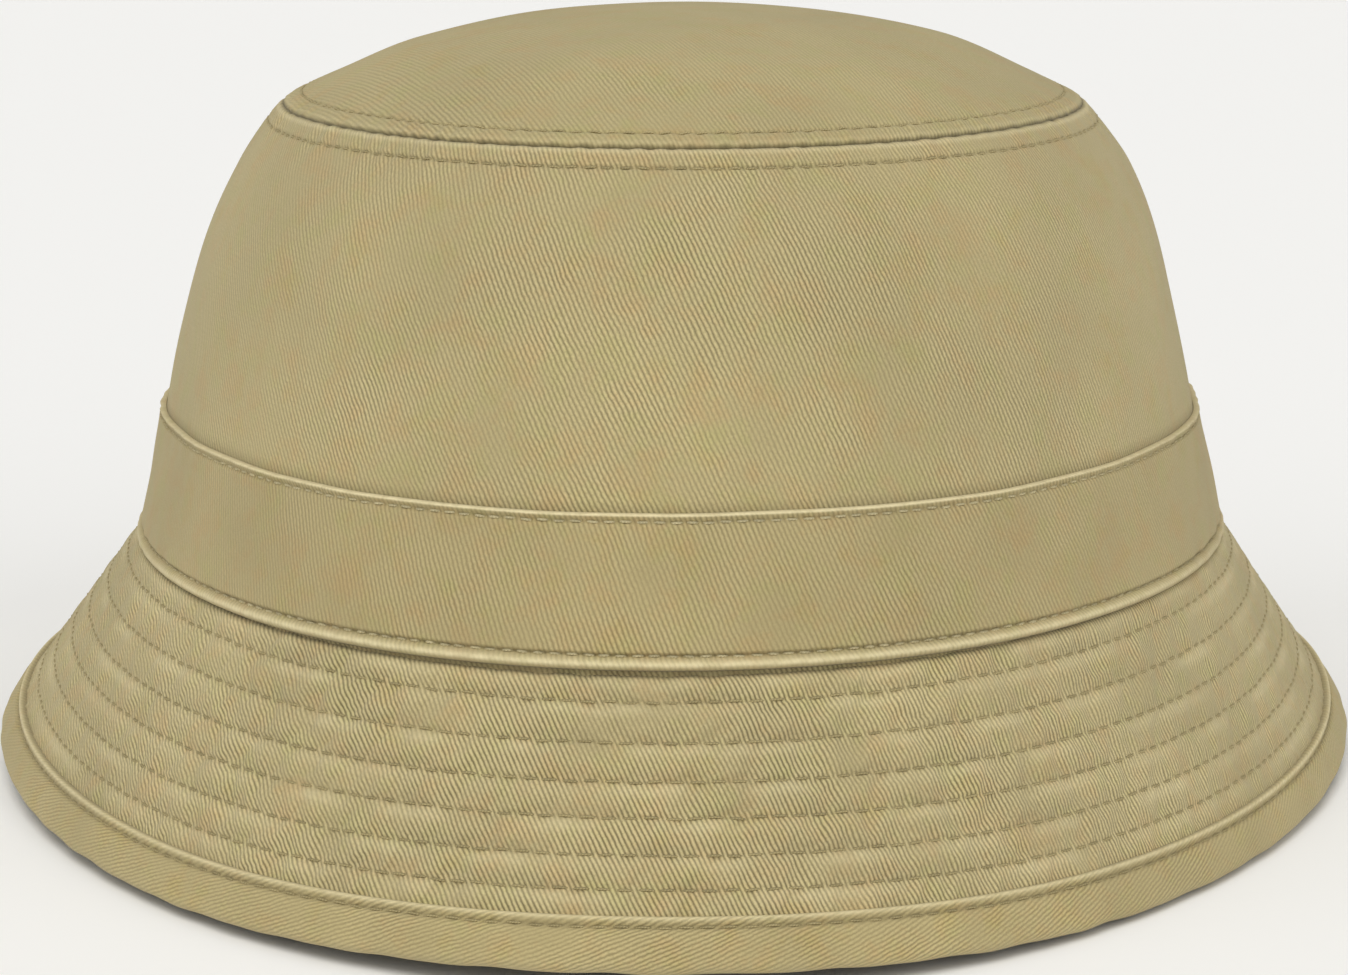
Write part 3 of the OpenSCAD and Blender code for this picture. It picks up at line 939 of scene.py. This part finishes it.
def row_shade(angle, run):
    # painted shade in each stitch row's groove and just above each row, where the channel turns
    # down, less round the sides; and painted shadow under the band at the seam
    painted_shade = 0.0
    for i, row in enumerate(ROWS):
        line = 0.17 * bump(run, row, width=0.22) + 0.12 * bump(run, row - 1.0, width=0.8)
        painted_shade = painted_shade + patchy(angle, 301 + i) * line
    shadow_under_band = 0.9 * (1 - ease(run, -0.2, 0.3))
    return np.clip(painted_shade * (1 - 0.7 * side_share(angle)) + shadow_under_band, 0, 1)


def row_highlight(angle, run):
    # painted highlight just below the seam and each stitch row, where the puffed channel faces
    # up
    wear_and_highlight = 0.0
    for i, row in enumerate([0.2] + ROWS):
        wear_and_highlight = wear_and_highlight + patchy(angle, 321 + i) * 0.20 * bump(run, row + 1.3, width=0.9)
    return np.clip(wear_and_highlight, 0, 1)


brim_uv = cone_uv(radius=178.0, sign=1)
register(shell(
    "brim_upper", brim_at, ring(BRIM_COLUMNS),
    samples(-1.2, BRIM_CLOTH_END, 0.62, extra=ROWS, fine=0.25, reach=0.9),
    upper_out, shifted(upper_out, -CLOTH), BRIM_TWILL, brim_uv, flip=True,
    marks={"painted_shade": row_shade, "wear_and_highlight": row_highlight}))
register(shell(
    "brim_interlining", brim_at, ring(480), samples(0.2, 42.4, 1.5), -CLOTH - 0.12,
    -CLOTH - 0.62, INTERLINING, strip_uv(), flip=True))
register(shell(
    "brim_lower", brim_at, ring(COLUMNS),
    samples(-1.0, BRIM_CLOTH_END, 0.75, extra=ROWS, fine=0.3, reach=0.9),
    shifted(lower_out, CLOTH), lower_out, UNDER_TWILL, brim_uv, flip=True,
    marks={"painted_shade": row_shade}))

# -------------------------------------------------------------------- binding
# One strip folded over the brim's edge. Its run goes out over the upper face, round the
# half-circle fold and back along the lower face.
BIND_FACE = 0.75                      # offset of its upper face
FOLD_RADIUS = 1.55
BIND_UPPER = BRIM_END - 1.2 - BIND_RUN
FOLD_END = BIND_UPPER + math.pi * FOLD_RADIUS
BIND_LENGTH = FOLD_END + (BIND_UPPER - 0.3)
BIND_ROW = 1.75                       # stitch row, from the upper edge
FOLD_MIDDLE = BIND_UPPER + math.pi * FOLD_RADIUS / 2


def binding_at(angle, run, out):
    upper = run <= BIND_UPPER
    fold = (run > BIND_UPPER) & (run <= FOLD_END)
    turn = (run - BIND_UPPER) / FOLD_RADIUS
    fold_run = BIND_RUN + BIND_UPPER
    centre = BIND_FACE - FOLD_RADIUS
    brim_run = np.where(upper, BIND_RUN + run,
                        np.where(fold, fold_run + FOLD_RADIUS * np.sin(turn),
                                 fold_run - (run - FOLD_END)))
    brim_out = np.where(upper, BIND_FACE,
                        np.where(fold, centre + FOLD_RADIUS * np.cos(turn),
                                 centre - FOLD_RADIUS))
    normal_run = np.where(fold, np.sin(turn), 0)
    normal_out = np.where(upper, 1, np.where(fold, np.cos(turn), -1))
    return brim_at(angle, brim_run + normal_run * out, brim_out + normal_out * out)


def binding_relief(angle, run):
    """Height of the binding's face, and its rounding at both cut edges."""
    back = BIND_LENGTH - run
    height = 0.34 * bump(run, at=0.62, width=0.50) - 0.36 * bump(run, at=BIND_ROW, width=0.42)
    height = height + 0.22 * np.sin(np.pi * np.clip((run - 2.0) / (BIND_UPPER - 2.0), 0, 1))
    height = height - 0.10 * bump(run, at=BIND_ROW, width=0.6) * np.cos(228 * angle)
    noise = waves(angle, run, seed=81, turns=(40, 100), slant=(0.2, 0.9))
    height = height + (0.05 * noise * ease(run, 1.2, 3.5)
                       * (1 - ease(run, BIND_LENGTH - 3, BIND_LENGTH - 1)))
    height = height - 0.30 * bump(back, at=1.6, width=0.4) + 0.2 * bump(back, at=0.6, width=0.4)
    return height, rounded(run, 0.5) * rounded(back, 0.5)


def binding_outer(angle, run):
    height, edge = binding_relief(angle, run)
    return -0.62 + (0.62 + height) * edge - 0.2 * (1 - ease(run, 0.0, 0.4))


def binding_inner(angle, run):
    return -0.66 - 0.24 * (1 - ease(run, 0.2, 1.4))


def binding_wear_and_highlight(angle, run):
    # lighter along the ridge at the upper edge and round the fold: partly worn cloth, partly
    # painted highlight
    return np.clip(0.50 * bump(run, at=0.55, width=0.42)
                   + 0.15 * bump(run, at=FOLD_MIDDLE, width=1.6), 0, 1)


def binding_shade(angle, run):
    # painted shade in the groove under the stitch row and along the upper edge where it dips to
    # the brim
    return np.clip(0.36 * bump(run, at=BIND_ROW, width=0.30)
                   + 0.5 * bump(run, at=0.0, width=0.2), 0, 1)


binding_runs = samples(0.0, BIND_LENGTH, 0.55, fine=0.18, reach=1.3,
                       extra=(0.6, BIND_ROW, FOLD_MIDDLE, BIND_LENGTH - 1.6))
register(shell(
    "brim_binding", binding_at, ring(BRIM_COLUMNS), binding_runs, binding_outer, binding_inner,
    BINDING_TWILL, strip_uv(112.0, sign=-1), flip=True,
    marks={"wear_and_highlight": binding_wear_and_highlight, "painted_shade": binding_shade}))


# ------------------------------------------- inside: sweatband, label, tapes
def sweat_in(angle, run):
    share = np.clip((run - SWEAT_LO) / (SWEAT_HI - SWEAT_LO), 0, 1)
    noise = waves(angle, run, seed=91, turns=(8, 26), slant=(0.05, 0.2))
    return (-CLOTH - 1.9 - 0.35 * np.sin(np.pi * share) + 0.18 * noise
            + 0.22 * bump(run, at=SWEAT_HI - 2.0, width=0.4)
            - 0.25 * bump(run, at=SWEAT_HI - 0.8, width=0.6))


def sweat_out(angle, run):
    return sweat_in(angle, run) + 0.04 + 0.85 * rounded(SWEAT_HI - run, 0.6)


def label_in(angle, run):
    """Hangs further inward, and curls more, towards its lower edge."""
    drop = 1 - (run - LABEL_LO) / (LABEL_HI - LABEL_LO)
    curl = 0.5 * ((angle - BACK) / LABEL_HALF) ** 2 * drop
    return -CLOTH - 2.95 - 0.35 * drop - 0.6 * curl


def tape_in(angle, run):
    noise = waves(angle, run, seed=95, turns=(30, 80), slant=(0.0, 0.4))
    return -CLOTH - 0.95 + 0.05 * noise - 0.12 * bump(run, at=CROWN.length - 4.5, width=3)


sweat_runs = samples(SWEAT_LO, SWEAT_HI, 1.0, extra=(SWEAT_HI - 2.0, SWEAT_HI - 0.5), fine=0.2)
register(shell("sweatband", crown_at, ring(COLUMNS), sweat_runs, sweat_out, sweat_in,
               SWEAT_TWILL, strip_uv(90.0)))
register(shell(
    "care_label", crown_at, np.linspace(BACK - LABEL_HALF, BACK + LABEL_HALF, 61),
    samples(LABEL_LO, LABEL_HI, 0.5), shifted(label_in, 0.3), label_in, SATIN, strip_uv(88.0),
    wrap=False), bend=LABEL_FLAP)
register(shell(
    "tip_seam_tape", crown_at, ring(COLUMNS),
    samples(CROWN.length - 9.5, CROWN.length - 1.2, 0.8), shifted(tape_in, 0.5), tape_in, TAPE,
    strip_uv(74.0)), body="crown_top")

SIDES = (("right", 0.0), ("left", math.pi))
TAPE_HALF = 0.05                      # half its width, as an angle
for key, middle in SIDES:
    def side_tape_in(angle, run):
        return -CLOTH - 0.75 - 0.1 * np.cos((angle - middle) / TAPE_HALF * math.pi)

    register(shell(
        "side_seam_tape_" + key, crown_at,
        np.linspace(middle - TAPE_HALF, middle + TAPE_HALF, 25),
        samples(29.0, CROWN.length - 10.5, 1.0), -CLOTH - 0.15, side_tape_in, TAPE,
        strip_uv(85.0), wrap=False), bend=crown_fold(lead=0.002))


# ------------------------------------------------------------------ stitching
def sew(node, surface, row, pitch, seed, outer=None, inner=None, material=KHAKI_THREAD,
        body="hat", bend=None, **options):
    """A stitch row on the outer face, the inner face or both, at the given heights."""
    rows = []
    for height, side in ((outer, 1.0), (inner, -1.0)):
        if height is not None:
            row_seed = seed + 500 * len(rows)
            rows.append(stitch_row(surface, row, pitch, height, side, row_seed, **options))
    register(make_thread(node, rows, material), body, bend)


def binding_upper_face(angle, run):
    height, edge = binding_relief(angle, run - BIND_RUN)
    return BIND_FACE + height * edge


sew("tip_topstitch_upper", tip_at, TOP_ROW, pitch=2.7, seed=1, outer=tip_out,
    inner=shifted(tip_out, -CLOTH), body="crown_top")
sew("tip_topstitch_lower", crown_at, CROWN.length - TOP_ROW, pitch=2.7, seed=2,
    outer=crown_out, inner=shifted(crown_out, -CLOTH), bend=crown_fold())
sew("tip_seam_thread", crown_at, CROWN.length - 1.4, pitch=2.5, seed=3, inner=-CLOTH - 0.25,
    dip=0.1, body="crown_top")
sew("band_topstitch_lower", crown_at, BAND_ROW_LO, pitch=BAND_PITCH, seed=4, outer=band_out,
    inner=-CLOTH, material=CREAM_THREAD, radius=0.22, fill=0.72)
sew("band_topstitch_upper", crown_at, BAND_ROW_HI, pitch=BAND_PITCH, seed=5, outer=band_out,
    inner=-CLOTH, material=CREAM_THREAD, radius=0.20, fill=0.74)
for i, row in enumerate(ROWS):
    sew("brim_stitch_row_%d" % (i + 1), brim_at, row, pitch=3.0, seed=10 + i, outer=upper_out,
        inner=lower_out, radius=0.19, fill=0.82)
sew("binding_stitch", brim_at, BIND_RUN + BIND_ROW, pitch=3.0, seed=20,
    outer=binding_upper_face, inner=BIND_FACE - 2 * FOLD_RADIUS, radius=0.20)
sew("brim_seam_thread", crown_at, 0.0, pitch=2.6, seed=21, inner=-CLOTH - 0.3, dip=0.1)
sew("sweatband_stitch", crown_at, SWEAT_HI - 2.0, pitch=2.8, seed=22, inner=sweat_in,
    material=CREAM_THREAD)
sew("label_stitch", crown_at, LABEL_HI - 1.0, pitch=2.0, seed=23, inner=label_in,
    material=WHITE_THREAD, radius=0.15,
    span=(BACK - LABEL_HALF + 0.012, BACK + LABEL_HALF - 0.012))
for (key, angle), seed in zip(SIDES, (41, 42)):
    register(make_thread("side_seam_thread_" + key, [side_seam_row(angle, seed)], KHAKI_THREAD),
             bend=crown_fold())


# ------------------------------------------- floor, light, view (in metres)
def make_floor():
    half = 30
    paper = bpy.data.materials.new("floor_paper")
    paper.use_nodes = True
    inputs = paper.node_tree.nodes["Principled BSDF"].inputs
    inputs["Base Color"].default_value = (0.93, 0.93, 0.92, 1)
    inputs["Roughness"].default_value = 0.95
    inputs["Specular IOR Level"].default_value = 0.05
    mesh = bpy.data.meshes.new("floor")
    mesh.from_pydata([(-half, -half, 0), (half, -half, 0), (half, half, 0), (-half, half, 0)],
                     [], [(0, 1, 2, 3)])
    floor = bpy.data.objects.new("floor", mesh)
    mesh.materials.append(paper)
    bpy.context.scene.collection.objects.link(floor)
    floor.location.z = -0.0002


def make_world():
    world = bpy.data.worlds.new("studio")
    bpy.context.scene.world = world
    world.use_nodes = True
    background = world.node_tree.nodes["Background"].inputs
    background["Color"].default_value = (1.0, 0.995, 0.985, 1)
    background["Strength"].default_value = 0.42


def sun(name, direction, strength, spread):
    """Sunlight along direction; spread is its angular size in degrees."""
    light = bpy.data.lights.new(name, "SUN")
    light.energy = strength
    light.angle = math.radians(spread)
    light.color = (1.0, 0.99, 0.97)
    ob = bpy.data.objects.new(name, light)
    ob.rotation_euler = Vector(direction).to_track_quat("-Z", "Y").to_euler()
    bpy.context.scene.collection.objects.link(ob)


def make_camera():
    """In front of the hat, a little above it and towards +X, aimed at a point on the axis."""
    pitch, yaw, distance = 0.206, -0.097, 0.580
    aim = Vector((0, 0, (SEAM_Z + 11.525) / 1000))
    view = bpy.data.cameras.new("cam")
    camera = bpy.data.objects.new("cam", view)
    camera.location = (-distance * math.cos(pitch) * math.sin(yaw),
                       -distance * math.cos(pitch) * math.cos(yaw),
                       aim.z + distance * math.sin(pitch))
    toward = aim - Vector(camera.location)
    camera.rotation_euler = toward.to_track_quat("-Z", "Y").to_euler()
    view.sensor_fit = "HORIZONTAL"
    view.sensor_width = 36.0
    view.lens = 90.134065
    view.shift_x = -0.006224036
    view.shift_y = -0.03345697
    view.clip_start = 0.01
    view.clip_end = 100
    bpy.context.scene.collection.objects.link(camera)
    bpy.context.scene.camera = camera


make_floor()
make_world()
sun("key", direction=(0.06, 0.50, -1.0), strength=1.33, spread=38)
sun("fill_left", direction=(0.9, 0.5, -0.40), strength=0.66, spread=60)
sun("fill_right", direction=(-0.9, 0.5, -0.40), strength=0.80, spread=60)
make_camera()
bpy.context.scene.view_settings.view_transform = "Standard"
bpy.context.scene.view_settings.look = "None"
